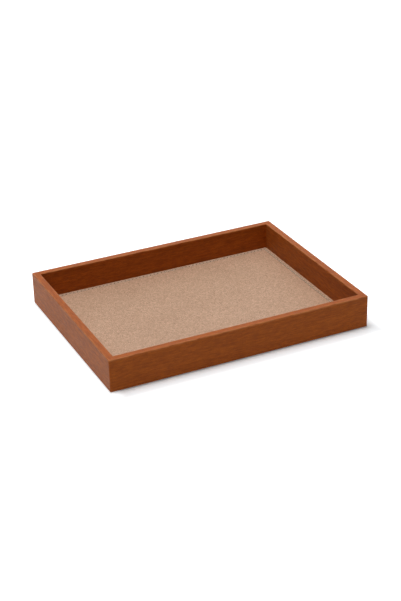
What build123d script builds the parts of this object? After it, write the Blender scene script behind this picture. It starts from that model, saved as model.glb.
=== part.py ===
from build123d import *
import os

# Valet tray: four mitred wooden rails round a stitched leather pad, standing on felt.
# Millimetres. The length lies along X, the front faces -Y, and the origin is the middle
# of the underside, so that the tray stands on the XY plane.

# Tray
LENGTH = 304.8
WIDTH = 228.6
HEIGHT = 38.1

# Rails, all four sawn from one moulded section
RAIL_THICKNESS = 7.9
MITRE_ANGLE = 45
TOP_EASE = 0.8
BOTTOM_EASE = 0.4
CORNER_EASE = 1.2
REBATE_WIDTH = 4.0

# Splines, which cross the mitres inside the corners
SPLINE_THICKNESS = 2.0
SPLINE_WIDTH = 7.0
SPLINE_COVER = 10.0
SPLINE_GLUE_GAP = 0.05
SPLINE_SEAT_SHARE = 0.7

# Base panel, let into the rebate from below
PANEL_THICKNESS = 3.0
PANEL_SIDE_GAP = 0.2

# Brads of flat wire, driven up through the panel into the rails
BRAD_WIDTH = 1.2
BRAD_THICKNESS = 1.0
BRAD_LENGTH = 12.0
BRAD_POINT = 1.5
BRAD_HEAD_WIDTH = 1.9
BRAD_HEAD_HEIGHT = 0.6
BRAD_HOLE_GAP = 0.05
BRAD_END_DISTANCE = 32.0
LONG_RAIL_BRADS = 3
SHORT_RAIL_BRADS = 2

# Felt underneath
FELT_THICKNESS = 1.0
FELT_INSET = 2.5
FELT_CORNER_RADIUS = 3.0

# Liner pad: board and foam inside a leather cover that is turned in underneath
LINER_SIDE_GAP = 0.3
LEATHER_THICKNESS = 1.0
TURN_IN_THICKNESS = 0.5
TURN_IN_WIDTH = 12.0
TURN_IN_CUT = 0.3
BOARD_THICKNESS = 1.5
BOARD_CORNER_RADIUS = 1.5
FOAM_THICKNESS = 1.0
FILLING_SIDE_GAP = 0.1

# Stitching, sunk in a shallow channel round the pad
STITCH_INSET = 4.0
STITCH_PITCH = 4.6
STITCH_LENGTH = 3.5
STITCH_SLOPE = 0.5
THREAD_WIDTH = 0.75
THREAD_SLOPE = 0.2
THREAD_HEIGHT = 0.45
CHANNEL_WIDTH = 1.1
CHANNEL_DEPTH = 0.35

# Heights, from the felt upwards
RAIL_BOTTOM = FELT_THICKNESS
PANEL_TOP = RAIL_BOTTOM + PANEL_THICKNESS
BOARD_BOTTOM = PANEL_TOP + TURN_IN_THICKNESS
FOAM_BOTTOM = BOARD_BOTTOM + BOARD_THICKNESS
LEATHER_BOTTOM = FOAM_BOTTOM + FOAM_THICKNESS
LINER_TOP = LEATHER_BOTTOM + LEATHER_THICKNESS

# Plan sizes inside the rails
INNER_LENGTH = LENGTH - 2 * RAIL_THICKNESS
INNER_WIDTH = WIDTH - 2 * RAIL_THICKNESS
REBATE_LENGTH = INNER_LENGTH + 2 * REBATE_WIDTH
REBATE_BREADTH = INNER_WIDTH + 2 * REBATE_WIDTH
LINER_LENGTH = INNER_LENGTH - 2 * LINER_SIDE_GAP
LINER_WIDTH = INNER_WIDTH - 2 * LINER_SIDE_GAP
SEAM_LENGTH = LINER_LENGTH - 2 * STITCH_INSET
SEAM_WIDTH = LINER_WIDTH - 2 * STITCH_INSET

# Each side of a rectangle, by its turn from the front, and each corner by its two signs
SIDE_TURNS = {"front": 0, "right": 90, "back": 180, "left": 270}
CORNER_SIGNS = {
    "front_left": (-1, -1),
    "front_right": (1, -1),
    "back_left": (-1, 1),
    "back_right": (1, 1),
}


def run_and_reach(side, length, width):
    """A side's own length on a length by width rectangle, and the rectangle's size across it."""
    return (length, width) if side in ("front", "back") else (width, length)


def slab(length, width, bottom, top, corner_radius=0):
    """A sheet, centred in plan, between two heights."""
    plan = Rectangle(length, width)
    if corner_radius:
        plan = RectangleRounded(length, width, corner_radius)
    return Pos(0, 0, bottom) * extrude(plan, top - bottom)


def rail_section():
    """The moulded section: X is the depth in from the outer face, Y is the height."""
    lip = RAIL_THICKNESS - REBATE_WIDTH
    section = make_face(
        Polyline(
            (0, RAIL_BOTTOM),
            (lip, RAIL_BOTTOM),
            (lip, PANEL_TOP),
            (RAIL_THICKNESS, PANEL_TOP),
            (RAIL_THICKNESS, HEIGHT),
            (0, HEIGHT),
            close=True,
        )
    )
    top_corners = section.vertices().group_by(Axis.Y)[-1]
    section = fillet(top_corners, TOP_EASE)
    outer_foot = section.vertices().group_by(Axis.Y)[0].sort_by(Axis.X)[0]
    return fillet(outer_foot, BOTTOM_EASE)


def mitred_rail(side):
    """One rail: the section run along its side, mitred at both ends and turned into place."""
    run, reach = run_and_reach(side, LENGTH, WIDTH)
    end, face = run / 2, -reach / 2
    start = Plane(origin=(-end, face, 0), x_dir=(0, 1, 0), z_dir=(1, 0, 0))
    moulding = extrude(start * rail_section(), run)
    mitres = make_face(
        Polyline(
            (-end, face),
            (end, face),
            (end - RAIL_THICKNESS, face + RAIL_THICKNESS),
            (RAIL_THICKNESS - end, face + RAIL_THICKNESS),
            close=True,
        )
    )
    eased_outline = RectangleRounded(run, reach, CORNER_EASE)
    rail = moulding & extrude(mitres, HEIGHT) & extrude(eased_outline, HEIGHT)
    return Rot(0, 0, SIDE_TURNS[side]) * rail


def corner_spline(corner, gap):
    """The key across one mitre, grown by gap on each side for the slot that it is glued into."""
    x_sign, y_sign = CORNER_SIGNS[corner]
    seat = RAIL_THICKNESS * SPLINE_SEAT_SHARE
    place = Pos(x_sign * (LENGTH / 2 - seat), y_sign * (WIDTH / 2 - seat), PANEL_TOP)
    plan = Rectangle(SPLINE_THICKNESS + 2 * gap, SPLINE_WIDTH + 2 * gap)
    height = HEIGHT - SPLINE_COVER - PANEL_TOP + gap
    return place * Rot(0, 0, x_sign * y_sign * MITRE_ANGLE) * extrude(plan, height)


def panel_brad(gap):
    """A brad with its head's face at the origin, grown by gap for the hole that it makes."""
    half_head = BRAD_HEAD_WIDTH / 2 + gap
    half_shank = BRAD_WIDTH / 2 + gap
    tip = BRAD_LENGTH + gap
    outline = Polyline(
        (-half_head, 0),
        (half_head, 0),
        (half_head, BRAD_HEAD_HEIGHT),
        (half_shank, BRAD_HEAD_HEIGHT),
        (half_shank, tip - BRAD_POINT),
        (0, tip),
        (-half_shank, tip - BRAD_POINT),
        (-half_shank, BRAD_HEAD_HEIGHT),
        (-half_head, BRAD_HEAD_HEIGHT),
        close=True,
    )
    return extrude(Plane.XZ * make_face(outline), BRAD_THICKNESS / 2 + gap, both=True)


def brad_places():
    """Where the brads go up: evenly along each side, in the middle of the rebate."""
    places = []
    for side, turn in SIDE_TURNS.items():
        run, reach = run_and_reach(side, LENGTH, WIDTH)
        count = LONG_RAIL_BRADS if side in ("front", "back") else SHORT_RAIL_BRADS
        first = BRAD_END_DISTANCE - run / 2
        step = -2 * first / (count - 1)
        line = RAIL_THICKNESS - REBATE_WIDTH / 2 - reach / 2
        for number in range(count):
            places.append(Rot(0, 0, turn) * Pos(first + number * step, line, RAIL_BOTTOM))
    return places


def leather_cover():
    """The pad's cover: rolled over its top edges, turned in below, cut at the corners to lie flat
    there, and pressed into a shallow channel along the seam."""
    hollow_corner = BOARD_CORNER_RADIUS + FILLING_SIDE_GAP
    outer_corner = hollow_corner + LEATHER_THICKNESS
    cover = slab(LINER_LENGTH, LINER_WIDTH, PANEL_TOP, LINER_TOP, outer_corner)
    rolled_edge = cover.faces().sort_by(Axis.Z)[-1].edges()
    cover = fillet(rolled_edge, LEATHER_THICKNESS)
    hollow_length = LINER_LENGTH - 2 * LEATHER_THICKNESS
    hollow_width = LINER_WIDTH - 2 * LEATHER_THICKNESS
    window_length = hollow_length - 2 * TURN_IN_WIDTH
    window_width = hollow_width - 2 * TURN_IN_WIDTH
    cover -= slab(hollow_length, hollow_width, BOARD_BOTTOM, LEATHER_BOTTOM, hollow_corner)
    cover -= slab(window_length, window_width, PANEL_TOP, BOARD_BOTTOM)
    corner_cut = extrude(Rectangle(2 * TURN_IN_WIDTH, TURN_IN_CUT), TURN_IN_THICKNESS)
    for x_sign, y_sign in CORNER_SIGNS.values():
        place = Pos(x_sign * window_length / 2, y_sign * window_width / 2, PANEL_TOP)
        cover -= place * Rot(0, 0, x_sign * y_sign * MITRE_ANGLE) * corner_cut
    channel_outside = Rectangle(SEAM_LENGTH + CHANNEL_WIDTH, SEAM_WIDTH + CHANNEL_WIDTH)
    channel_inside = Rectangle(SEAM_LENGTH - CHANNEL_WIDTH, SEAM_WIDTH - CHANNEL_WIDTH)
    channel = extrude(channel_outside - channel_inside, CHANNEL_DEPTH)
    return cover - Pos(0, 0, LINER_TOP - CHANNEL_DEPTH) * channel


def filling(bottom, top):
    """A sheet that fills the leather cover from side to side between two heights."""
    side = LEATHER_THICKNESS + FILLING_SIDE_GAP
    length, width = LINER_LENGTH - 2 * side, LINER_WIDTH - 2 * side
    return slab(length, width, bottom, top, BOARD_CORNER_RADIUS)


def backing_sheet():
    """The sheet under the pad, which fills the window that the turned-in leather leaves."""
    side = LEATHER_THICKNESS + TURN_IN_WIDTH + FILLING_SIDE_GAP
    return slab(LINER_LENGTH - 2 * side, LINER_WIDTH - 2 * side, PANEL_TOP, BOARD_BOTTOM)


def one_stitch():
    """A stitch along X, rounded over and sloping down at both ends to its needle holes."""
    foot = Rectangle(STITCH_LENGTH, THREAD_WIDTH)
    crown = Rectangle(STITCH_LENGTH - 2 * STITCH_SLOPE, THREAD_WIDTH - 2 * THREAD_SLOPE)
    return loft([foot, Pos(0, 0, THREAD_HEIGHT) * crown], ruled=True)


def stitch_rows():
    """The stitches, a whole number of them on each side of the seam."""
    stitch = one_stitch()
    stitches = []
    for side, turn in SIDE_TURNS.items():
        run, reach = run_and_reach(side, SEAM_LENGTH, SEAM_WIDTH)
        count = round(run / STITCH_PITCH)
        step = run / count
        for number in range(count):
            along = (number + 0.5) * step - run / 2
            place = Pos(along, -reach / 2, LINER_TOP - CHANNEL_DEPTH)
            stitches.append(Rot(0, 0, turn) * place * stitch)
    return stitches


def felt_sheet():
    """The felt, set in a little from the rails so that its edge stays out of sight."""
    length, width = LENGTH - 2 * FELT_INSET, WIDTH - 2 * FELT_INSET
    return slab(length, width, 0, FELT_THICKNESS, FELT_CORNER_RADIUS)


def tray_pieces():
    """Every piece of the tray, by the name of its node."""
    brad_holes = [place * panel_brad(BRAD_HOLE_GAP) for place in brad_places()]
    spline_slots = [corner_spline(corner, SPLINE_GLUE_GAP) for corner in CORNER_SIGNS]
    pieces = {}
    for side in SIDE_TURNS:
        pieces[f"{side}_rail"] = mitred_rail(side) - spline_slots - brad_holes
    for corner in CORNER_SIGNS:
        pieces[f"{corner}_spline"] = corner_spline(corner, 0)
    panel = slab(
        REBATE_LENGTH - 2 * PANEL_SIDE_GAP,
        REBATE_BREADTH - 2 * PANEL_SIDE_GAP,
        RAIL_BOTTOM,
        PANEL_TOP,
    )
    pieces["base_panel"] = panel - brad_holes
    pieces["base_brads"] = Compound([place * panel_brad(0) for place in brad_places()])
    pieces["liner_backing"] = backing_sheet()
    pieces["liner_board"] = filling(BOARD_BOTTOM, FOAM_BOTTOM)
    pieces["liner_foam"] = filling(FOAM_BOTTOM, LEATHER_BOTTOM)
    pieces["leather_liner"] = leather_cover()
    pieces["liner_stitching"] = Compound(stitch_rows())
    pieces["felt_base"] = felt_sheet()
    return pieces


os.makedirs("parts", exist_ok=True)
for name, piece in tray_pieces().items():
    export_step(piece, f"parts/{name}.step")
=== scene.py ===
from math import cos, pi, radians, sin

import bmesh
import bpy
import numpy as np
from mathutils import Matrix, Vector


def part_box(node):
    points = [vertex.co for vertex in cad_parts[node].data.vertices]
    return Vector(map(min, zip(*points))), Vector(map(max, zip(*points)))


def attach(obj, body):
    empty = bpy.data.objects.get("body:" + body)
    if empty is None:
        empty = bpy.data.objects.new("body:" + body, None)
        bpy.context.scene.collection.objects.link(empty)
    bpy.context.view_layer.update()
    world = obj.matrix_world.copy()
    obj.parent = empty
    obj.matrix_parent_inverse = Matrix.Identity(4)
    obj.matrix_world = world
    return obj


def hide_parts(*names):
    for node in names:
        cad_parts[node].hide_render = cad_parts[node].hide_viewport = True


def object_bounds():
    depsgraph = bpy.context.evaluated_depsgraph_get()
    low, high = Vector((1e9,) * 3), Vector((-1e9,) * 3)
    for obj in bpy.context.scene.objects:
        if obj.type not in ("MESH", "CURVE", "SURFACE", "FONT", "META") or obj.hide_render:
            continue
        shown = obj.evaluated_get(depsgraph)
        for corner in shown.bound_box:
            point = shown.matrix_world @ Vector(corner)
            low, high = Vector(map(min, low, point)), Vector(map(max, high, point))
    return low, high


# A valet tray on a pale floor: stained wooden rails round a stitched leather pad.
# Metres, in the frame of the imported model, whose nodes give the sizes of most pieces.
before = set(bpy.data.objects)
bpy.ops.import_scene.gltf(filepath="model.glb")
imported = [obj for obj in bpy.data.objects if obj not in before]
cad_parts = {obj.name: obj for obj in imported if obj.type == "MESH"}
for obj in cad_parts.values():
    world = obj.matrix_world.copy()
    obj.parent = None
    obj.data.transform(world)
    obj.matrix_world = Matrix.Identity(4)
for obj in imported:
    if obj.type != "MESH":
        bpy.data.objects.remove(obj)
cad_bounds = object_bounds()

MM = 0.001

# Camera, where it stood for the photograph: its angles are in degrees, its lens in millimetres
CAMERA_AIM = Vector((2.6, -4.3, 19.0)) * MM
CAMERA_DISTANCE = 1.589
CAMERA_AZIMUTH = -25.08
CAMERA_ELEVATION = 27.21
CAMERA_ROLL = -1.40
CAMERA_LENS = 85.4

# Light: a soft box overhead, fainter ones behind the tray and low on its left, and a pale ceiling
OVERHEAD_SIZE = 0.5
OVERHEAD_PLACE = Vector((-0.06, 0.03, 1.8))
OVERHEAD_LEVEL = 0.61
BEHIND_SIZE = 1.3
BEHIND_PLACE = Vector((0.83, 1.78, 1.0))
BEHIND_LEVEL = 0.14
LEFT_SIZE = 0.11
LEFT_PLACE = Vector((-1.75, -0.65, 0.06))
LEFT_LEVEL = 0.085
CEILING_LEVEL = 0.48
CEILING_FALL = 2.0
BACKGROUND_LEVEL = 1.0

# Floor: white to the camera, but for a soft painted shade round the tray's outline, shifted to the
# right and to the front, where its glow is lowered
FLOOR_SIZE = 12.0
FLOOR_COLOUR = (0.87, 0.90, 0.92, 1)
FLOOR_GLOW = 0.70
FLOOR_FAR_GLOW = 0.9
FLOOR_NEAR, FLOOR_FAR = 0.5, 1.2
PAINTED_SHADE_GLOW = 0.14
PAINTED_SHADE_SHIFT = (11 * MM, -13 * MM)
PAINTED_SHADE_START, PAINTED_SHADE_END = -4 * MM, 13 * MM

# Rails: one moulded section, with its edges eased and a little rubbed
TOP_EASE = 0.8 * MM
FOOT_EASE = 0.4 * MM
CORNER_EASE = 1.2 * MM
EASE_STEPS = 6
WEAR_WIDTH = 1.4 * MM
SHOULDER_WIDTH = WEAR_WIDTH / 8
SHOULDER_WEAR = 0.55
PANEL_SIDE_GAP = 0.2 * MM
MITRE_GAP = 0.005 * MM
RAIL_STATIONS = 34
END_CROWDING = 3.0
SIDE_TURNS = {"front": 0, "right": 90, "back": 180, "left": 270}

# Pad: leather over foam, drawn down along the seam and rolled over its edges
LEATHER_THICKNESS = 1.0 * MM
TURN_IN_THICKNESS = 0.5 * MM
TURN_IN_WIDTH = 12.0 * MM
PAD_CORNER = 2.6 * MM
ROLL_RADIUS = 0.6 * MM
CHANNEL_DEPTH = 0.30 * MM
CHANNEL_SPREAD = 1.0 * MM
HOLE_DEPTH = 0.28 * MM
HOLE_SPREAD = 0.9 * MM
SWELL_HEIGHT = 0.35 * MM
SWELL_PRESSURE = 20.0
SWELL_FRAMES = 20

# Grid that the pad is made from: its lines by the seam and over the rolled edge
LINES_BY_SEAM = np.array((0.3, 0.6, 0.9, 1.4)) * MM
LINE_OUTSIDE_SEAM = 2.0 * MM
ROLL_STEPS = 5
ROLL_SPACING = 0.3 * MM
GRID_DECIMALS = 7

# Stitches: arches of thread laid end to end, with a gap at both ends as a share of the pitch
STITCH_INSET = 4.0 * MM
STITCH_PITCH = 4.6 * MM
STITCH_GAP = 0.10
ARCH_STEPS = 8
THREAD_WIDTH = 0.8 * MM
THREAD_SIDES = 6
THREAD_RISE = 0.55 * MM
THREAD_DIP = 0.8 * MM
THREAD_LEAN = 0.12 * MM

# Soft sheets: the radius of their corners, and how far their edges are rounded
FELT_CORNER, FELT_EASE = 3.0 * MM, 0.3 * MM
FOAM_CORNER, FOAM_EASE = 1.5 * MM, 0.3 * MM
BACKING_CORNER, BACKING_EASE = 1.0 * MM, 0.15 * MM
SHEET_CORNER_STEPS = 8
SHEET_EDGE_STEPS = 4


class Field:
    """A number in a node tree, so that a rule can be written out as arithmetic."""

    def __init__(self, tree, socket):
        self.tree, self.socket = tree, socket

    def math(self, operation, *others):
        node = self.tree.nodes.new("ShaderNodeMath")
        node.operation = operation
        for number, value in enumerate((self, *others)):
            plug(self.tree, value, node.inputs[number])
        return Field(self.tree, node.outputs[0])

    def __add__(self, other):
        return self.math("ADD", other)

    def __sub__(self, other):
        return self.math("SUBTRACT", other)

    def __mul__(self, other):
        return self.math("MULTIPLY", other)

    def __truediv__(self, other):
        return self.math("DIVIDE", other)

    def __abs__(self):
        return self.math("ABSOLUTE")

    def larger(self, other):
        return self.math("MAXIMUM", other)


def plug(tree, value, socket):
    """Links a field or a socket into a socket, or sets the socket to a plain value."""
    if isinstance(value, Field):
        tree.links.new(value.socket, socket)
    elif isinstance(value, bpy.types.NodeSocket):
        tree.links.new(value, socket)
    else:
        socket.default_value = value


def add(tree, kind, values=None, **settings):
    """A new node, with its settings made and its sockets plugged."""
    node = tree.nodes.new(kind)
    for setting, value in settings.items():
        setattr(node, setting, value)
    for socket, value in (values or {}).items():
        plug(tree, value, node.inputs[socket])
    return node


def separate(tree, vector):
    """The three parts of a vector, as fields."""
    parts = add(tree, "ShaderNodeSeparateXYZ", {0: vector}).outputs
    return [Field(tree, part) for part in parts]


def stored(tree, name):
    """A number that the piece's mesh stores at its points."""
    return Field(tree, add(tree, "ShaderNodeAttribute", attribute_name=name).outputs["Fac"])


def noise(tree, place, spot, detail=2.0, roughness=0.5):
    """Cloudy noise, about 0.5 in the middle, with spots of the given size along X, Y and Z."""
    scaled = add(
        tree,
        "ShaderNodeVectorMath",
        {0: place, 1: [1 / size for size in spot]},
        operation="MULTIPLY",
    )
    made = add(
        tree,
        "ShaderNodeTexNoise",
        {"Vector": scaled.outputs[0], "Scale": 1.0, "Detail": detail, "Roughness": roughness},
    )
    return Field(tree, made.outputs[0])


def ramp(tree, value, start, end):
    """A smooth climb from 0 at start to 1 at end."""
    made = add(
        tree,
        "ShaderNodeMapRange",
        {"Value": value, "From Min": start, "From Max": end},
        interpolation_type="SMOOTHSTEP",
    )
    return Field(tree, made.outputs[0])


def mixed(tree, share, first, second):
    """Two colours mixed by the share of the second."""
    made = add(tree, "ShaderNodeMix", data_type="RGBA")
    for socket, value in ((0, share), (6, first), (7, second)):
        plug(tree, value, made.inputs[socket])
    return made.outputs[2]


def place_on_piece(tree, turn=0, shift=(0, 0, 0)):
    """The piece's own coordinates, turned about Z and shifted to a fresh part of the pattern."""
    own = add(tree, "ShaderNodeTexCoord").outputs["Object"]
    mapped = add(tree, "ShaderNodeMapping", {"Vector": own, "Location": shift})
    mapped.inputs["Rotation"].default_value = (0, 0, radians(turn))
    return mapped.outputs[0]


def empty_tree(owner):
    """The node tree of a material or a world, with no node left in it."""
    owner.use_nodes = True
    owner.node_tree.nodes.clear()
    return owner.node_tree


def new_material(name):
    """A material and its node tree with a shader wired to its output."""
    material = bpy.data.materials.new(name)
    tree = empty_tree(material)
    shader = add(tree, "ShaderNodeBsdfPrincipled")
    add(tree, "ShaderNodeOutputMaterial", {"Surface": shader.outputs[0]})
    return material, tree, shader


def finish_shader(tree, shader, colour, roughness, height, bump, specular):
    """Wires colour, roughness and height into the shader. The bump is the height's full depth."""
    plug(tree, colour, shader.inputs["Base Color"])
    plug(tree, roughness, shader.inputs["Roughness"])
    relief = add(tree, "ShaderNodeBump", {"Height": height, "Strength": 1.0, "Distance": bump})
    plug(tree, relief.outputs[0], shader.inputs["Normal"])
    shader.inputs["Specular IOR Level"].default_value = specular


def add_sheen(shader, weight, roughness, tint=(1, 1, 1, 1)):
    """Gives a shader the pale bloom of a surface seen aslant."""
    for name, value in (("Weight", weight), ("Roughness", roughness), ("Tint", tint)):
        shader.inputs[f"Sheen {name}"].default_value = value


# Stained wood: its colours, the size of its grain's marks, and how far apart the rails lie in it
WOOD_DARK = (0.305, 0.063, 0.0055, 1)
WOOD_LIGHT = (0.508, 0.118, 0.0100, 1)
WOOD_FLECK = (0.17, 0.033, 0.0022, 1)
WOOD_PORE = (0.12, 0.021, 0.0016, 1)
WOOD_RUBBED = (0.60, 0.25, 0.10, 1)
WOOD_SHEEN = (1.0, 0.85, 0.35, 1)
WOOD_BANDS = (200 * MM, 12 * MM, 12 * MM)
WOOD_CLOUDS = (9 * MM, 2.2 * MM, 2.2 * MM)
WOOD_LINES = (32 * MM, 1.0 * MM, 1.0 * MM)
WOOD_FLECKS = (4.8 * MM, 0.6 * MM, 0.6 * MM)
WOOD_PORES = (2.6 * MM, 0.28 * MM, 0.28 * MM)
GRAIN_ALONG, GRAIN_ACROSS, GRAIN_UP = 370 * MM, 11 * MM, 23 * MM


def stained_wood(side):
    """Red-brown stained wood under thin satin lacquer. Its fine, even grain runs along the rail."""
    material, tree, shader = new_material(f"{side}_rail_stained_wood")
    turn = SIDE_TURNS[side]
    shift = (GRAIN_ALONG * turn / 90, GRAIN_ACROSS * turn / 90, GRAIN_UP)
    place = place_on_piece(tree, -turn, shift)
    bands = noise(tree, place, WOOD_BANDS)
    clouds = noise(tree, place, WOOD_CLOUDS)
    lines = noise(tree, place, WOOD_LINES, detail=3.0)
    flecks = noise(tree, place, WOOD_FLECKS, roughness=0.6)
    pores = noise(tree, place, WOOD_PORES, detail=1.0)
    fleck = ramp(tree, flecks, 0.50, 0.68)
    pore = ramp(tree, pores, 0.58, 0.70)
    shade = bands * 0.14 + clouds * 0.34 + lines * 0.24 + flecks * 0.28
    colour = mixed(tree, ramp(tree, shade, 0.36, 0.64), WOOD_DARK, WOOD_LIGHT)
    colour = mixed(tree, fleck * 0.34, colour, WOOD_FLECK)
    colour = mixed(tree, pore * 0.45, colour, WOOD_PORE)
    rubbed = stored(tree, "arris") * ramp(tree, lines + clouds, 0.65, 1.15)
    colour = mixed(tree, rubbed * 0.4, colour, WOOD_RUBBED)
    roughness = flecks * 0.2 + 0.40
    height = (flecks + pore) * -1
    add_sheen(shader, weight=0.09, roughness=0.45, tint=WOOD_SHEEN)
    finish_shader(tree, shader, colour, roughness, height, bump=0.04 * MM, specular=0.115)
    return material


# Pebbled leather: its colours, the painted shade of its creases, seam and needle holes, its pebbles,
# and the size of what varies them
LEATHER_DARK = (0.550, 0.335, 0.212, 1)
LEATHER_LIGHT = (0.755, 0.492, 0.335, 1)
LEATHER_CREASE_SHADE = (0.24, 0.135, 0.082, 1)
LEATHER_SEAM_SHADE = (0.17, 0.092, 0.053, 1)
LEATHER_HOLE_SHADE = (0.028, 0.014, 0.009, 1)
PEBBLE_SIZE = 1.5 * MM
PEBBLE_RANDOMNESS = 0.8
PEBBLE_SWIRL = 0.9 * MM
SWIRLS_PER_METRE = 700.0
LEATHER_WORN_SPOTS = (3 * MM,) * 3
LEATHER_WRINKLES = (0.3 * MM,) * 3
LEATHER_PATCHES = (50 * MM,) * 3


def pebbled_leather():
    """Taupe leather with a fine pebble grain: rounded pebbles, each painted a little lighter or
    darker than the next as if it caught the light at its own slope, and painted lighter on its top
    than at its foot; painted shade in the creases between them, which fade out here and there, and
    finer wrinkles over them. Painted shade darkens it where the seam draws it down, and most in the
    needle holes."""
    material, tree, shader = new_material("pebbled_taupe_leather")
    place = place_on_piece(tree)
    warp = add(
        tree,
        "ShaderNodeTexNoise",
        {"Vector": place, "Scale": SWIRLS_PER_METRE, "Detail": 3.0},
    )
    swirl = add(
        tree,
        "ShaderNodeVectorMath",
        {0: warp.outputs["Color"], 1: (PEBBLE_SWIRL,) * 3, 2: place},
        operation="MULTIPLY_ADD",
    ).outputs[0]
    shape = {"Vector": swirl, "Scale": 1 / PEBBLE_SIZE, "Randomness": PEBBLE_RANDOMNESS}
    edges = add(tree, "ShaderNodeTexVoronoi", shape, feature="DISTANCE_TO_EDGE")
    cells = add(tree, "ShaderNodeTexVoronoi", shape)
    from_crease = Field(tree, edges.outputs["Distance"])
    each_pebble = separate(tree, cells.outputs["Color"])[0]
    dome = ramp(tree, from_crease, -0.05, 0.36)
    worn = noise(tree, place, LEATHER_WORN_SPOTS)
    crease = ramp(tree, from_crease, 0.15, 0.0) * ramp(tree, worn, 0.25, 0.60)
    fine = noise(tree, place, LEATHER_WRINKLES, detail=3.0)
    patch = noise(tree, place, LEATHER_PATCHES, detail=3.0)
    # Painted shading: each pebble lighter or darker as if it caught the light at its own slope, and
    # lighter on its dome's top than at its foot. The wrinkles and patches are the leather's tone.
    shade = each_pebble * 0.35 + dome * 0.25 + fine * 0.2 + patch * 0.2
    colour = mixed(tree, ramp(tree, shade, 0.2, 0.85), LEATHER_DARK, LEATHER_LIGHT)
    # Painted shade in the creases between the pebbles
    colour = mixed(tree, crease * 0.5, colour, LEATHER_CREASE_SHADE)
    # Painted shade along the seam, where it draws the leather down
    colour = mixed(tree, stored(tree, "seam") * 0.85, colour, LEATHER_SEAM_SHADE)
    # Painted shade, darkest, in the needle holes
    colour = mixed(tree, stored(tree, "hole") * 0.95, colour, LEATHER_HOLE_SHADE)
    roughness = dome * -0.14 + 0.62
    height = dome - crease * 0.25 + each_pebble * 0.3 + fine * 0.15
    finish_shader(tree, shader, colour, roughness, height, bump=0.26 * MM, specular=0.30)
    return material


# Sewing thread: its colours, its plies and its fuzz
THREAD_DARK = (0.56, 0.42, 0.30, 1)
THREAD_LIGHT = (0.92, 0.77, 0.62, 1)
THREAD_PLY_SCALE = 420.0
THREAD_PLY_DISTORTION = 0.6
THREAD_FUZZ = (0.3 * MM,) * 3


def sewing_thread():
    """Thread a shade lighter than the leather, with its plies running aslant."""
    material, tree, shader = new_material("linen_thread")
    place = place_on_piece(tree)
    plies = add(
        tree,
        "ShaderNodeTexWave",
        {"Vector": place, "Scale": THREAD_PLY_SCALE, "Distortion": THREAD_PLY_DISTORTION},
        bands_direction="DIAGONAL",
    )
    ply = Field(tree, plies.outputs["Fac"])
    fuzz = noise(tree, place, THREAD_FUZZ)
    colour = mixed(tree, ply * 0.6 + fuzz * 0.4, THREAD_DARK, THREAD_LIGHT)
    roughness = fuzz * 0.1 + 0.55
    finish_shader(tree, shader, colour, roughness, ply, bump=0.05 * MM, specular=0.3)
    return material


# Pressed felt: the colours of the two felts, and the size of their lumps and fibres
FELT_DARK = (0.012, 0.010, 0.009, 1)
FELT_LIGHT = (0.050, 0.043, 0.038, 1)
BACKING_DARK = (0.030, 0.027, 0.024, 1)
BACKING_LIGHT = (0.085, 0.078, 0.070, 1)
FELT_LUMPS = (4 * MM,) * 3
FIBRE_LENGTH, FIBRE_WIDTH, FIBRE_DEPTH = 2.2 * MM, 0.22 * MM, 0.4 * MM


def pressed_felt(name, dark, light):
    """Matted wool: short fibres lying every way, and soft lumps."""
    material, tree, shader = new_material(name)
    place = place_on_piece(tree)
    lumps = noise(tree, place, FELT_LUMPS, detail=3.0)
    one_way = noise(tree, place, (FIBRE_LENGTH, FIBRE_WIDTH, FIBRE_DEPTH))
    other_way = noise(tree, place, (FIBRE_WIDTH, FIBRE_LENGTH, FIBRE_DEPTH))
    fibre = one_way.larger(other_way)
    colour = mixed(tree, ramp(tree, fibre * 0.6 + lumps * 0.4, 0.35, 0.7), dark, light)
    roughness = lumps * 0.1 + 0.88
    height = fibre + lumps
    add_sheen(shader, weight=0.3, roughness=0.6)
    finish_shader(tree, shader, colour, roughness, height, bump=0.12 * MM, specular=0.15)
    return material


# Foam rubber: its colours, with the painted shade in its cells' pits, and its cells
FOAM_PIT_SHADE = (0.42, 0.38, 0.30, 1)
FOAM_LIGHT = (0.74, 0.70, 0.60, 1)
FOAM_CELLS_PER_METRE = 1300.0


def foam_rubber():
    """Pale foam with small open cells, with painted shade in the pit of each."""
    material, tree, shader = new_material("pad_foam")
    place = place_on_piece(tree)
    cells = add(
        tree, "ShaderNodeTexVoronoi", {"Vector": place, "Scale": FOAM_CELLS_PER_METRE}
    )
    pit = ramp(tree, Field(tree, cells.outputs["Distance"]), 0.1, 0.5)
    # Painted shade in the pit of each cell
    colour = mixed(tree, pit, FOAM_PIT_SHADE, FOAM_LIGHT)
    roughness = pit * -0.05 + 0.9
    finish_shader(tree, shader, colour, roughness, pit, bump=0.15 * MM, specular=0.2)
    return material


# Birch plywood: its colours, and the size of its grain and flecks
PLY_DARK = (0.50, 0.33, 0.185, 1)
PLY_LIGHT = (0.70, 0.53, 0.34, 1)
PLY_CORE = (0.30, 0.18, 0.09, 1)
PLY_FLECK = (0.33, 0.19, 0.10, 1)
PLY_GRAIN = (160 * MM, 2.2 * MM, 2.2 * MM)
PLY_FLECKS = (4 * MM, 0.4 * MM, 0.4 * MM)


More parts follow.
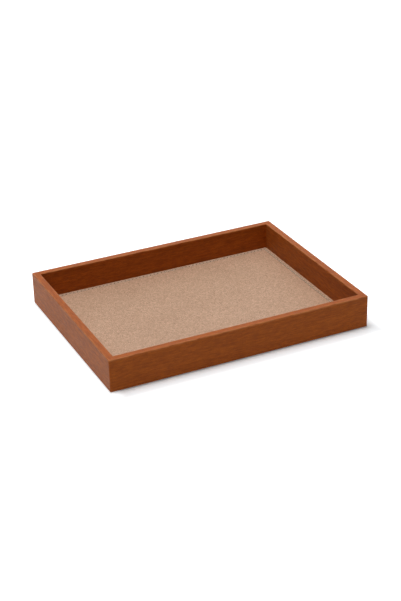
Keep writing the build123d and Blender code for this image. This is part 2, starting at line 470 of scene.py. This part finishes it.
def birch_ply():
    """Birch plywood: pale, with long faint grain, and a darker ply in the middle of the panel."""
    material, tree, shader = new_material("birch_plywood")
    place = place_on_piece(tree)
    low, high = (corner.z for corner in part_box("base_panel"))
    grain = noise(tree, place, PLY_GRAIN, detail=3.0)
    fleck = noise(tree, place, PLY_FLECKS)
    from_middle = abs(separate(tree, place)[2] - (low + high) / 2) / (high - low)
    core = ramp(tree, from_middle, 0.18, 0.15)
    colour = mixed(tree, grain, PLY_DARK, PLY_LIGHT)
    colour = mixed(tree, core * 0.45, colour, PLY_CORE)
    colour = mixed(tree, ramp(tree, fleck, 0.6, 0.7) * 0.3, colour, PLY_FLECK)
    roughness = grain * 0.15 + 0.6
    height = grain + fleck * 0.4
    finish_shader(tree, shader, colour, roughness, height, bump=0.04 * MM, specular=0.3)
    return material


# Grey board: its colours, and the size of its pulp and shreds
BOARD_DARK = (0.24, 0.235, 0.22, 1)
BOARD_LIGHT = (0.42, 0.41, 0.38, 1)
BOARD_SHRED = (0.12, 0.11, 0.10, 1)
BOARD_PULP = (3 * MM, 3 * MM, 0.5 * MM)
BOARD_SHREDS = (1.6 * MM, 0.3 * MM, 0.3 * MM)


def grey_board():
    """Grey board of pulped fibres, with dark shreds in it."""
    material, tree, shader = new_material("pulp_board")
    place = place_on_piece(tree)
    pulp = noise(tree, place, BOARD_PULP, detail=4.0, roughness=0.7)
    shred = noise(tree, place, BOARD_SHREDS)
    colour = mixed(tree, pulp, BOARD_DARK, BOARD_LIGHT)
    colour = mixed(tree, ramp(tree, shred, 0.62, 0.7) * 0.5, colour, BOARD_SHRED)
    roughness = pulp * 0.1 + 0.8
    finish_shader(tree, shader, colour, roughness, pulp, bump=0.04 * MM, specular=0.2)
    return material


# Drawn wire: its colours, and the size of its marks
WIRE_DARK = (0.42, 0.42, 0.43, 1)
WIRE_LIGHT = (0.62, 0.62, 0.63, 1)
WIRE_MARKS = (0.12 * MM, 0.12 * MM, 4 * MM)


def drawn_wire():
    """Bright flat wire with faint drawing marks."""
    material, tree, shader = new_material("brad_wire")
    place = place_on_piece(tree)
    marks = noise(tree, place, WIRE_MARKS)
    colour = mixed(tree, marks, WIRE_DARK, WIRE_LIGHT)
    roughness = marks * 0.2 + 0.25
    shader.inputs["Metallic"].default_value = 1.0
    finish_shader(tree, shader, colour, roughness, marks, bump=0.01 * MM, specular=0.5)
    return material


def seen_directly(tree):
    """1 for what the camera sees, straight or in gloss or glass, and 0 for what lights the object."""
    ray = add(tree, "ShaderNodeLightPath").outputs
    seen = Field(tree, ray["Is Camera Ray"]).larger(ray["Is Glossy Ray"])
    return seen.larger(ray["Is Transmission Ray"])


def floor_material():
    """Pale floor that keeps the shadow the lamps cast. It glows for the camera, so that it reads as
    white
    where nothing shades it: least by the tray, more beside it and most far away. Lowering the glow
    round the tray's outline, shifted to the right and to the front, paints a shade there."""
    material = bpy.data.materials.new("pale_floor")
    tree = empty_tree(material)
    matt = add(tree, "ShaderNodeBsdfDiffuse", {"Color": FLOOR_COLOUR})
    place = add(tree, "ShaderNodeTexCoord").outputs["Object"]
    across, along, _ = separate(tree, place)
    # The glow is lowest round the tray's outline, shifted to the right and to the front: a painted
    # shade
    beside = abs(across - PAINTED_SHADE_SHIFT[0]) - cad_bounds[1][0]
    before = abs(along - PAINTED_SHADE_SHIFT[1]) - cad_bounds[1][1]
    distance = beside.larger(before)
    near = ramp(tree, distance, PAINTED_SHADE_START, PAINTED_SHADE_END) * (FLOOR_GLOW - PAINTED_SHADE_GLOW)
    far = ramp(tree, distance, FLOOR_NEAR, FLOOR_FAR) * (FLOOR_FAR_GLOW - FLOOR_GLOW)
    strength = (near + far + PAINTED_SHADE_GLOW) * seen_directly(tree)
    glow = add(tree, "ShaderNodeEmission", {"Strength": strength})
    both = add(tree, "ShaderNodeAddShader", {0: matt.outputs[0], 1: glow.outputs[0]})
    add(tree, "ShaderNodeOutputMaterial", {"Surface": both.outputs[0]})
    return material


def new_object(name, data):
    """An object with this data, linked into the scene."""
    made = bpy.data.objects.new(name, data)
    bpy.context.scene.collection.objects.link(made)
    return made


def new_piece(name, points, faces, material=None):
    """An object at the origin whose mesh has these points and faces."""
    mesh = bpy.data.meshes.new(name)
    mesh.from_pydata([tuple(point) for point in points], [], faces)
    if material:
        mesh.materials.append(material)
    return new_object(name, mesh)


def store(piece, name, values):
    """Stores a number at each point of a piece's mesh, for its material to read."""
    layer = piece.data.attributes.new(name, "FLOAT", "POINT")
    layer.data.foreach_set("value", values)


def smooth(piece, angle=35):
    """Shades a piece smoothly, but for edges sharper than the angle."""
    piece.data.shade_smooth()
    piece.data.set_sharp_from_angle(angle=radians(angle))


def merge_doubles(piece, distance=0.002 * MM):
    """Joins points that lie on each other, and turns every face outwards."""
    work = bmesh.new()
    work.from_mesh(piece.data)
    bmesh.ops.remove_doubles(work, verts=work.verts, dist=distance)
    bmesh.ops.recalc_face_normals(work, faces=work.faces)
    work.to_mesh(piece.data)
    work.free()


def hand_over(piece, node):
    """The piece rides with the tray, and stands for the node named, which is hidden."""
    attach(piece, "root")
    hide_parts(node)


def apply_modifiers(piece):
    """Gives a piece the plain mesh that its modifiers make, and takes them off it."""
    bpy.context.view_layer.update()
    evaluated = piece.evaluated_get(bpy.context.evaluated_depsgraph_get())
    mesh = bpy.data.meshes.new_from_object(evaluated)
    piece.modifiers.clear()
    piece.data = mesh


def made_by_nodes(piece, tree, values):
    """Runs a Geometry Nodes tree on a piece, with values for its named inputs, and keeps the mesh."""
    modifier = piece.modifiers.new(tree.name, "NODES")
    modifier.node_group = tree
    for socket in tree.interface.items_tree:
        if socket.in_out == "INPUT" and socket.name in values:
            modifier[socket.identifier] = values[socket.name]
    apply_modifiers(piece)
    mesh = piece.data
    mesh.name = piece.name
    for number in reversed(range(len(mesh.materials))):
        if not mesh.materials[number]:
            mesh.materials.pop(index=number)


def new_geometry_tree(name, numbers):
    """A Geometry Nodes tree with a geometry going in and out, a material and named numbers."""
    tree = bpy.data.node_groups.new(name, "GeometryNodeTree")
    tree.is_modifier = True
    face = tree.interface
    face.new_socket("Geometry", in_out="INPUT", socket_type="NodeSocketGeometry")
    face.new_socket("Geometry", in_out="OUTPUT", socket_type="NodeSocketGeometry")
    face.new_socket("Material", in_out="INPUT", socket_type="NodeSocketMaterial")
    for number in numbers:
        kind = "NodeSocketInt" if number.startswith("Count") else "NodeSocketFloat"
        face.new_socket(number, in_out="INPUT", socket_type=kind)
    return tree, add(tree, "NodeGroupInput").outputs


def end_geometry_tree(tree, geometry, material):
    """Ends a Geometry Nodes tree: real geometry, with its material, goes out."""
    real = add(tree, "GeometryNodeRealizeInstances", {"Geometry": geometry})
    coloured = add(
        tree,
        "GeometryNodeSetMaterial",
        {"Geometry": real.outputs[0], "Material": material},
    )
    add(tree, "NodeGroupOutput", {"Geometry": coloured.outputs[0]})


def eased_outline(corners, steps):
    """A closed outline from corners given as (across, up, radius): each square corner rounded by
    its radius. Also gives each point's share of wear, which is full on a rounded corner."""
    points, wear = [], []
    count = len(corners)
    for number, (across, up, radius) in enumerate(corners):
        corner = np.array((across, up))
        if not radius:
            points.append(corner)
            wear.append(0.0)
            continue
        before = np.array(corners[number - 1][:2]) - corner
        after = np.array(corners[(number + 1) % count][:2]) - corner
        before, after = before / np.linalg.norm(before), after / np.linalg.norm(after)
        centre = corner + (before + after) * radius
        fade = ((radius + WEAR_WIDTH, 0.0), (radius + SHOULDER_WIDTH, SHOULDER_WEAR))
        for reach, share in fade:
            points.append(corner + before * reach)
            wear.append(share)
        for step in range(steps + 1):
            turn = step / steps * pi / 2
            points.append(centre - (after * cos(turn) + before * sin(turn)) * radius)
            wear.append(1.0)
        for reach, share in reversed(fade):
            points.append(corner + after * reach)
            wear.append(share)
    return points, wear


def rail_tree():
    """Runs a section along a straight rail, and turns its ends in to the mitres and round the
    tray's upright corners. X is along the rail, Y the depth from its outer face, Z up."""
    tree, given = new_geometry_tree(
        "moulded_rail", ["Half Length", "Corner Ease", "Count of Stations"]
    )
    half = Field(tree, given["Half Length"])
    corner = Field(tree, given["Corner Ease"])

    # Stations along the rail, crowded towards its ends
    line = add(tree, "GeometryNodeCurvePrimitiveLine", {"End": (1, 0, 0)})
    stations = add(
        tree,
        "GeometryNodeResampleCurve",
        {"Curve": line.outputs[0], "Count": given["Count of Stations"]},
    )
    share = Field(tree, add(tree, "GeometryNodeSplineParameter").outputs["Factor"]) * 2 - 1
    crowded = ((abs(share) * -1 + 1).math("POWER", END_CROWDING) * -1 + 1) * share.math("SIGN")
    spot = add(tree, "ShaderNodeCombineXYZ", {"X": crowded * half})
    path = add(
        tree,
        "GeometryNodeSetPosition",
        {"Geometry": stations.outputs[0], "Position": spot.outputs[0]},
    )

    # The section, swept upright along them
    upright = add(tree, "GeometryNodeSetCurveNormal", {"Curve": path.outputs[0]}, mode="Z_UP")
    turned = add(tree, "GeometryNodeSetCurveTilt", {"Curve": upright.outputs[0], "Tilt": pi})
    section = add(tree, "GeometryNodeMeshToCurve", {"Mesh": given["Geometry"]})
    swept = add(
        tree,
        "GeometryNodeCurveToMesh",
        {"Curve": turned.outputs[0], "Profile Curve": section.outputs[0], "Fill Caps": True},
    )

    # Each point's way to the mitre at its own depth, straight and then round an eighth of a turn
    along, depth, height = separate(tree, add(tree, "GeometryNodeInputPosition").outputs[0])
    bend_from = corner.larger(depth)
    bend = bend_from - depth
    arc = bend * (pi / 4)
    to_mitre = (half - abs(along)) * (half - bend_from + arc) / half
    angle = (to_mitre / bend * -1 + pi / 4).larger(0.0)
    new_along = half - bend_from + bend * angle.math("SINE") - (to_mitre - arc).larger(0.0)
    new_depth = bend_from - bend * angle.math("COSINE")
    moved = add(
        tree,
        "ShaderNodeCombineXYZ",
        {"X": new_along * along.math("SIGN"), "Y": new_depth, "Z": height},
    )
    mitred = add(
        tree,
        "GeometryNodeSetPosition",
        {"Geometry": swept.outputs[0], "Position": moved.outputs[0]},
    )
    end_geometry_tree(tree, mitred.outputs[0], given["Material"])
    return tree


def moulded_rail(side, tree):
    """One rail: the section that the tray's sizes give, run along its side of the tray."""
    low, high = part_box("front_rail")
    thickness = high.y - low.y
    panel_low, panel_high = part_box("base_panel")
    tray_low, tray_high = cad_bounds
    lip = panel_low.y - PANEL_SIDE_GAP - tray_low[1]
    run, reach = tray_high[0], tray_high[1]
    if side in ("left", "right"):
        run, reach = reach, run
    corners = [
        (0, low.z, FOOT_EASE),
        (lip, low.z, 0),
        (lip, panel_high.z, 0),
        (thickness, panel_high.z, 0),
        (thickness, high.z, TOP_EASE),
        (0, high.z, TOP_EASE),
    ]
    outline, wear = eased_outline(corners, EASE_STEPS)
    count = len(outline)
    loop = [(number, (number + 1) % count) for number in range(count)]
    section = bpy.data.meshes.new(f"{side}_section")
    section.from_pydata([(across, up, 0) for across, up in outline], loop, [])
    piece = new_object(f"{side}_rail_wood", section)
    store(piece, "arris", wear)
    values = {
        "Material": stained_wood(side),
        "Half Length": run - MITRE_GAP,
        "Corner Ease": CORNER_EASE,
        "Count of Stations": RAIL_STATIONS,
    }
    made_by_nodes(piece, tree, values)
    out_to_face = Matrix.Translation((0, -reach, 0))
    piece.data.transform(Matrix.Rotation(radians(SIDE_TURNS[side]), 4, "Z") @ out_to_face)
    cut_to_fit(piece, side)
    smooth(piece)
    hand_over(piece, f"{side}_rail")


def cut_to_fit(piece, side):
    """Cuts the slots for the corner splines at both ends of a rail, and the holes of its brads."""
    tools = [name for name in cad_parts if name.endswith("_spline") and side in name]
    for name in (*tools, "base_brads"):
        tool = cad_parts[name].copy()
        tool.data = tool.data.copy()
        bpy.context.scene.collection.objects.link(tool)
        merge_doubles(tool)
        cut = piece.modifiers.new(name, "BOOLEAN")
        cut.operation = "DIFFERENCE"
        cut.solver = "EXACT"
        cut.object = tool
        apply_modifiers(piece)
        bpy.data.objects.remove(tool)
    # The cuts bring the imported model's normals along, which would spoil the rail's own shading
    borrowed = piece.data.attributes.get("custom_normal")
    if borrowed:
        piece.data.attributes.remove(borrowed)


def photo_camera():
    """The camera, where the photograph's camera stood."""
    azimuth, elevation, roll = map(radians, (CAMERA_AZIMUTH, CAMERA_ELEVATION, CAMERA_ROLL))
    back = Vector((sin(azimuth) * cos(elevation), -cos(azimuth) * cos(elevation), sin(elevation)))
    level = Vector((cos(azimuth), sin(azimuth), 0))
    right = level * cos(roll) + back.cross(level) * sin(roll)
    turn = Matrix((right, back.cross(right), back)).transposed().to_4x4()
    data = bpy.data.cameras.new("photo_camera")
    data.lens = CAMERA_LENS
    data.clip_end = 4 * FLOOR_SIZE
    camera = new_object("photo_camera", data)
    camera.matrix_world = Matrix.Translation(CAMERA_AIM + back * CAMERA_DISTANCE) @ turn
    bpy.context.scene.camera = camera


def softbox(name, size, place, level):
    """A square lamp aimed at the tray. A white surface that faces it there shows its level."""
    data = bpy.data.lights.new(name, "AREA")
    data.shape = "SQUARE"
    data.size = size
    data.energy = level * pi**2 * place.length_squared
    lamp = new_object(name, data)
    turn = place.to_track_quat("Z", "Y").to_matrix().to_4x4()
    lamp.matrix_world = Matrix.Translation(place) @ turn
    lamp.visible_camera = False


def pale_room():
    """The room's light, strongest from straight above, and the white that the camera sees. With
    the lamps, it lights a level surface so that a colour shows about as it is written."""
    world = bpy.data.worlds.new("pale_room")
    bpy.context.scene.world = world
    tree = empty_tree(world)
    height = separate(tree, add(tree, "ShaderNodeTexCoord").outputs["Generated"])[2]
    ceiling = height.larger(0.0).math("POWER", CEILING_FALL) * CEILING_LEVEL
    seen = seen_directly(tree)
    level = seen * BACKGROUND_LEVEL + (seen * -1 + 1) * ceiling
    light = add(tree, "ShaderNodeBackground", {"Color": (1, 1, 1, 1), "Strength": level})
    add(tree, "ShaderNodeOutputWorld", {"Surface": light.outputs[0]})


def pale_floor():
    """The floor, level with the underside of the tray."""
    half = FLOOR_SIZE / 2
    corners = [(-half, -half, 0), (half, -half, 0), (half, half, 0), (-half, half, 0)]
    floor = new_piece("pale_floor", corners, [(0, 1, 2, 3)], floor_material())


def seam_size():
    """Half the length and half the width of the rectangle that the stitches follow."""
    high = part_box("leather_liner")[1]
    return high.x - STITCH_INSET, high.y - STITCH_INSET


def hole_places(seam_half):
    """Where the needle holes lie along one side of the seam."""
    return np.linspace(-seam_half, seam_half, round(2 * seam_half / STITCH_PITCH) + 1)


def midway(places):
    """The places midway between neighbours."""
    return (places[:-1] + places[1:]) / 2


def lines_across(half, seam_half):
    """Where the pad's grid lines lie on one axis: four to a stitch, three of them at its needle
    hole, and crowded by the seam. Lines that fall together are kept once."""
    holes = hole_places(seam_half)
    inner = holes[1:-1]
    along = np.concatenate((holes, midway(holes), inner - HOLE_SPREAD, inner + HOLE_SPREAD))
    outside = seam_half + np.append(LINES_BY_SEAM, LINE_OUTSIDE_SEAM)
    inside = seam_half - LINES_BY_SEAM
    lines = (along, outside, -outside, inside, -inside, np.array((-half, half)))
    return np.unique(np.round(np.concatenate(lines), GRID_DECIMALS))


def grid_faces(columns, rows):
    """The numbers of a grid's points, and its faces, which look up."""
    number = np.arange(columns * rows).reshape(columns, rows)
    quads = np.stack(
        (number[:-1, :-1], number[1:, :-1], number[1:, 1:], number[:-1, 1:]), axis=-1
    )
    return number, [tuple(face) for face in quads.reshape(-1, 4).tolist()]


def swell_lines(half, seam_half):
    """Where the simulated leather's grid lines lie on one axis: at the needle holes, midway between
    them, at the edge, and midway from there to the seam."""
    holes = hole_places(seam_half)
    margin = (seam_half + half) / 2
    return np.sort(np.concatenate((holes, midway(holes), (-half, -margin, margin, half))))


def leather_swell(flat_x, flat_y, seam_x, seam_y):
    """Cloth simulation of the leather's top as the foam beneath swells it: held at its edge and at
    every needle hole, so that it puckers between them. Gives the grid's lines and its heights."""
    xs, ys = swell_lines(flat_x, seam_x), swell_lines(flat_y, seam_y)
    x, y = np.meshgrid(xs, ys, indexing="ij")
    at_edge = np.isclose(np.abs(x), flat_x) | np.isclose(np.abs(y), flat_y)
    on_long_side = np.isclose(np.abs(y), seam_y) & np.isin(x, hole_places(seam_x))
    on_short_side = np.isclose(np.abs(x), seam_x) & np.isin(y, hole_places(seam_y))
    held = np.flatnonzero(at_edge | on_long_side | on_short_side)
    faces = grid_faces(*x.shape)[1]
    sheet = new_piece("swelling_leather", np.stack((x, y, x * 0), axis=-1).reshape(-1, 3), faces)
    sheet.vertex_groups.new(name="held").add(held.tolist(), 1.0, "REPLACE")
    cloth = sheet.modifiers.new("swell", "CLOTH")
    cloth.settings.vertex_group_mass = "held"
    cloth.settings.use_pressure = True
    cloth.settings.uniform_pressure_force = SWELL_PRESSURE
    cloth.settings.effector_weights.gravity = 0.0
    cloth.collision_settings.use_collision = False
    for number in range(1, SWELL_FRAMES + 1):
        bpy.context.scene.frame_set(number)
    swollen = sheet.evaluated_get(bpy.context.evaluated_depsgraph_get()).data
    places = np.empty(3 * len(swollen.vertices))
    swollen.vertices.foreach_get("co", places)
    heights = places[2::3].reshape(x.shape)
    bpy.context.scene.frame_set(1)
    bpy.data.objects.remove(sheet)
    # The foam lets the leather rise only so far, so the heights level off towards a limit
    return xs, ys, SWELL_HEIGHT * (1 - np.exp(-np.maximum(heights, 0) / SWELL_HEIGHT))


def between_lines(x, y, xs, ys, heights):
    """Heights at any places, from the heights where a grid's lines cross."""
    x, y = np.clip(x, xs[0], xs[-1]), np.clip(y, ys[0], ys[-1])
    column = np.clip(np.searchsorted(xs, x) - 1, 0, len(xs) - 2)
    row = np.clip(np.searchsorted(ys, y) - 1, 0, len(ys) - 2)
    across = (x - xs[column]) / (xs[column + 1] - xs[column])
    up = (y - ys[row]) / (ys[row + 1] - ys[row])
    near = heights[column, row] * (1 - across) + heights[column + 1, row] * across
    far = heights[column, row + 1] * (1 - across) + heights[column + 1, row + 1] * across
    return near * (1 - up) + far * up


def seam_nearness(x, y, seam_x, seam_y):
    """How near each place is to the seam and to a needle hole, from 0 to 1."""
    over_x, over_y = np.abs(x) - seam_x, np.abs(y) - seam_y
    off_seam = np.abs(np.maximum(over_x, over_y))
    beyond = np.hypot(np.maximum(over_x, 0), np.maximum(over_y, 0))
    off_seam = np.where((over_x > 0) & (over_y > 0), beyond, off_seam)
    on_long_side = over_y > over_x
    run = np.where(on_long_side, x, y)
    half_run = np.where(on_long_side, seam_x, seam_y)
    step = 2 * half_run / np.round(2 * half_run / STITCH_PITCH)
    phase = (run + half_run) / step
    from_hole = np.abs(phase - np.round(phase)) * step
    seam = np.exp(-((off_seam / CHANNEL_SPREAD) ** 2))
    hole = np.exp(-(off_seam**2 + from_hole**2) / HOLE_SPREAD**2)
    return seam, hole


def rolled_edge(depth):
    """How the leather rolls over the pad's edge and down its side: for each line of the grid past
    the flat top, how far past it the line lies, and how far out and down its points come."""
    turns = np.linspace(0, pi / 2, ROLL_STEPS + 1)
    out = np.append(ROLL_RADIUS * np.sin(turns), ROLL_RADIUS)
    drop = np.append(ROLL_RADIUS * (1 - np.cos(turns)), depth)
    past = np.append(0, np.cumsum(np.full(len(out) - 1, ROLL_SPACING)))
    return past, out, drop


def pad_plan(xs, ys, flat_x, flat_y, past, out):
    """Where the grid's points come to lie, seen from above, with the pad's corners rounded. Also
    gives how far past the flat top each one lies in the grid."""
    x, y = (grid.ravel() for grid in np.meshgrid(xs, ys, indexing="ij"))
    bend = PAD_CORNER - ROLL_RADIUS
    over = np.stack((np.abs(x) - (flat_x - bend), np.abs(y) - (flat_y - bend)), axis=1)
    reach = over.max(axis=1)
    beyond = reach - bend
    spread = np.interp(beyond, past, out) + np.minimum(beyond, 0)
    in_corner = (over > 0).all(axis=1)
    length = np.where(in_corner, np.hypot(over[:, 0], over[:, 1]), 1)
    shrink = np.where(in_corner, (bend + spread) / length, 1)
    new_over = np.where(
        in_corner[:, None],
        over * shrink[:, None],
        np.where(over == reach[:, None], bend + spread[:, None], over),
    )
    plan_x = np.sign(x) * (new_over[:, 0] + flat_x - bend)
    plan_y = np.sign(y) * (new_over[:, 1] + flat_y - bend)
    return plan_x, plan_y, beyond


def turn_in(points, rim, faces):
    """Carries the leather on from the foot of its sides: in under the pad, up and back out over
    the turned-in strip, and up to the underside of the top. Adds its faces and gives all points."""
    low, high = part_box("leather_liner")
    hollow = np.array((high.x, high.y)) - LEATHER_THICKNESS
    window = hollow - TURN_IN_WIDTH
    levels = (
        (window, low.z),
        (window, low.z + TURN_IN_THICKNESS),
        (hollow, low.z + TURN_IN_THICKNESS),
        (hollow, high.z - LEATHER_THICKNESS),
    )
    blocks, upper = [points], rim
    for limit, level in levels:
        lower = np.arange(len(rim)) + sum(len(block) for block in blocks)
        inwards = np.clip(points[rim, :2], -limit, limit)
        blocks.append(np.column_stack((inwards, np.full(len(rim), level))))
        quads = np.stack((np.roll(upper, -1), upper, lower, np.roll(lower, -1)), axis=1)
        faces += [tuple(quad) for quad in quads.tolist()]
        upper = lower
    faces.append(tuple(upper[::-1].tolist()))
    return np.concatenate(blocks)


def leather_pad():
    """The leather cover: a grid over the top, rolled over the edges, down and turned in beneath."""
    low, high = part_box("leather_liner")
    flat_x, flat_y = high.x - ROLL_RADIUS, high.y - ROLL_RADIUS
    seam_x, seam_y = seam_size()
    past, out, drop = rolled_edge(high.z - low.z)
    xs, ys = (
        np.concatenate((-half - past[:0:-1], lines_across(half, seam_half), half + past[1:]))
        for half, seam_half in ((flat_x, seam_x), (flat_y, seam_y))
    )
    x, y, beyond = pad_plan(xs, ys, flat_x, flat_y, past, out)
    seam, hole = seam_nearness(x, y, seam_x, seam_y)
    swell = between_lines(x, y, *leather_swell(flat_x, flat_y, seam_x, seam_y))
    relief = swell - SWELL_HEIGHT - CHANNEL_DEPTH * seam - HOLE_DEPTH * hole
    z = high.z - np.interp(beyond, past, drop)
    z += np.where(z > low.z + LEATHER_THICKNESS, relief, 0)
    number, faces = grid_faces(len(xs), len(ys))
    rim = np.concatenate((number[:-1, 0], number[-1, :-1], number[:0:-1, -1], number[0, :0:-1]))
    points = turn_in(np.stack((x, y, z), axis=1), rim, faces)
    piece = new_piece("leather_pad", points, faces, pebbled_leather())
    beneath = np.zeros(len(points) - len(z))
    # Where the seam and the needle holes lie, for the painted shade that the leather's material puts
    # there
    store(piece, "seam", np.concatenate((seam, beneath)))
    store(piece, "hole", np.concatenate((hole, beneath)))
    merge_doubles(piece)
    smooth(piece, angle=50)
    hand_over(piece, "leather_liner")


def stitch_tree():
    """Lays stitches end to end along each line that it is given, a whole number to a line."""
    tree, given = new_geometry_tree(
        "seam_stitches", ["Pitch", "Thread Width", "Rise", "Dip", "Lean"]
    )
    pitch, rise, dip, lean = (Field(tree, given[name]) for name in ("Pitch", "Rise", "Dip", "Lean"))

    # One stitch: round thread that arches from one needle hole to the next, leaning a little
    near, far = pitch * STITCH_GAP, pitch * (1 - STITCH_GAP)
    start = add(tree, "ShaderNodeCombineXYZ", {"X": near, "Y": lean * -1, "Z": dip * -1})
    end = add(tree, "ShaderNodeCombineXYZ", {"X": far, "Y": lean, "Z": dip * -1})
    lift_start = add(tree, "ShaderNodeCombineXYZ", {"X": near, "Y": lean * -1, "Z": rise})
    lift_end = add(tree, "ShaderNodeCombineXYZ", {"X": far, "Y": lean, "Z": rise})
    arch = add(
        tree,
        "GeometryNodeCurvePrimitiveBezierSegment",
        {
            "Resolution": ARCH_STEPS,
            "Start": start.outputs[0],
            "Start Handle": lift_start.outputs[0],
            "End Handle": lift_end.outputs[0],
            "End": end.outputs[0],
        },
    )
    round_thread = add(
        tree,
        "GeometryNodeCurvePrimitiveCircle",
        {"Resolution": THREAD_SIDES, "Radius": Field(tree, given["Thread Width"]) / 2},
    )
    stitch = add(
        tree,
        "GeometryNodeCurveToMesh",
        {"Curve": arch.outputs[0], "Profile Curve": round_thread.outputs[0], "Fill Caps": True},
    )

    # The needle holes of each line, and a stitch from each but the last, stretched to reach
    sides = add(tree, "GeometryNodeMeshToCurve", {"Mesh": given["Geometry"]})
    side_length = Field(tree, add(tree, "GeometryNodeSplineLength").outputs["Length"])
    count = (side_length / pitch).math("ROUND")
    holes = add(
        tree, "GeometryNodeResampleCurve", {"Curve": sides.outputs[0], "Count": count + 1}
    )
    last = add(tree, "GeometryNodeCurveEndpointSelection", {"Start Size": 0, "End Size": 1})
    not_last = add(tree, "FunctionNodeBooleanMath", {0: last.outputs[0]}, operation="NOT")
    facing = add(
        tree,
        "FunctionNodeAlignRotationToVector",
        {"Vector": add(tree, "GeometryNodeInputTangent").outputs[0]},
        axis="X",
    )
    stretch = add(tree, "ShaderNodeCombineXYZ", {"X": side_length / count / pitch, "Y": 1, "Z": 1})
    laid = add(
        tree,
        "GeometryNodeInstanceOnPoints",
        {
            "Points": holes.outputs[0],
            "Selection": not_last.outputs[0],
            "Instance": stitch.outputs[0],
            "Rotation": facing.outputs[0],
            "Scale": stretch.outputs[0],
        },
    )
    end_geometry_tree(tree, laid.outputs[0], given["Material"])
    return tree


def seam_stitches():
    """The stitches round the pad, one line of them to a side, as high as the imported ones."""
    half_x, half_y = seam_size()
    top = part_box("liner_stitching")[1].z
    arch_height = (3 * THREAD_RISE - THREAD_DIP) / 4
    level = top - THREAD_WIDTH / 2 - arch_height
    corners = [(-half_x, -half_y), (half_x, -half_y), (half_x, half_y), (-half_x, half_y)]
    points, lines = [], []
    for start, end in zip(corners, corners[1:] + corners[:1]):
        lines.append((len(points), len(points) + 1))
        points += [(*start, level), (*end, level)]
    seam = bpy.data.meshes.new("seam_lines")
    seam.from_pydata(points, lines, [])
    piece = new_object("seam_stitches", seam)
    values = {
        "Material": sewing_thread(),
        "Pitch": STITCH_PITCH,
        "Thread Width": THREAD_WIDTH,
        "Rise": THREAD_RISE,
        "Dip": THREAD_DIP,
        "Lean": THREAD_LEAN,
    }
    made_by_nodes(piece, stitch_tree(), values)
    smooth(piece, angle=60)
    hand_over(piece, "liner_stitching")


def soft_sheet(name, node, material, corner, ease):
    """A soft sheet in the place of a node, with its corners and its edges rounded."""
    low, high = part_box(node)
    turns = np.linspace(0, pi / 2, SHEET_CORNER_STEPS + 1)
    outline = []
    for x_sign, y_sign, first in ((1, 1, 0), (-1, 1, 1), (-1, -1, 2), (1, -1, 3)):
        centre = np.array((x_sign * (high.x - corner), y_sign * (high.y - corner)))
        for turn in turns + first * pi / 2:
            outline.append((centre, np.array((cos(turn), sin(turn)))))
    curl = np.linspace(0, pi / 2, SHEET_EDGE_STEPS + 1)
    profile = [(ease * (1 - sin(turn)), low.z + ease * (1 - cos(turn))) for turn in curl]
    profile += [(inset, low.z + high.z - level) for inset, level in reversed(profile)]
    points, faces = [], []
    for inset, level in profile:
        points += [(*(centre + way * (corner - inset)), level) for centre, way in outline]
    count = len(outline)
    for ring in range(len(profile) - 1):
        for here in range(count):
            there = (here + 1) % count
            below, above = ring * count, (ring + 1) * count
            faces.append((below + here, below + there, above + there, above + here))
    faces.append(tuple(range(count))[::-1])
    faces.append(tuple(range((len(profile) - 1) * count, len(profile) * count)))
    piece = new_piece(name, points, faces, material)
    smooth(piece)
    hand_over(piece, node)


def recolour(node, material):
    """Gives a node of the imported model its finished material."""
    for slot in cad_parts[node].material_slots:
        slot.material = material


photo_camera()
softbox("overhead_softbox", OVERHEAD_SIZE, OVERHEAD_PLACE, OVERHEAD_LEVEL)
softbox("softbox_behind", BEHIND_SIZE, BEHIND_PLACE, BEHIND_LEVEL)
softbox("softbox_left", LEFT_SIZE, LEFT_PLACE, LEFT_LEVEL)
pale_room()
pale_floor()

rail = rail_tree()
for side in SIDE_TURNS:
    moulded_rail(side, rail)
leather_pad()
seam_stitches()

felt = pressed_felt("dark_wool_felt", FELT_DARK, FELT_LIGHT)
backing = pressed_felt("black_backing_cloth", BACKING_DARK, BACKING_LIGHT)
soft_sheet("felt_underside", "felt_base", felt, FELT_CORNER, FELT_EASE)
soft_sheet("pad_foam", "liner_foam", foam_rubber(), FOAM_CORNER, FOAM_EASE)
soft_sheet("pad_backing", "liner_backing", backing, BACKING_CORNER, BACKING_EASE)

plywood = birch_ply()
for node in ("base_panel", *(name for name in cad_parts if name.endswith("_spline"))):
    recolour(node, plywood)
recolour("liner_board", grey_board())
recolour("base_brads", drawn_wire())

bpy.context.scene.view_settings.view_transform = "Standard"
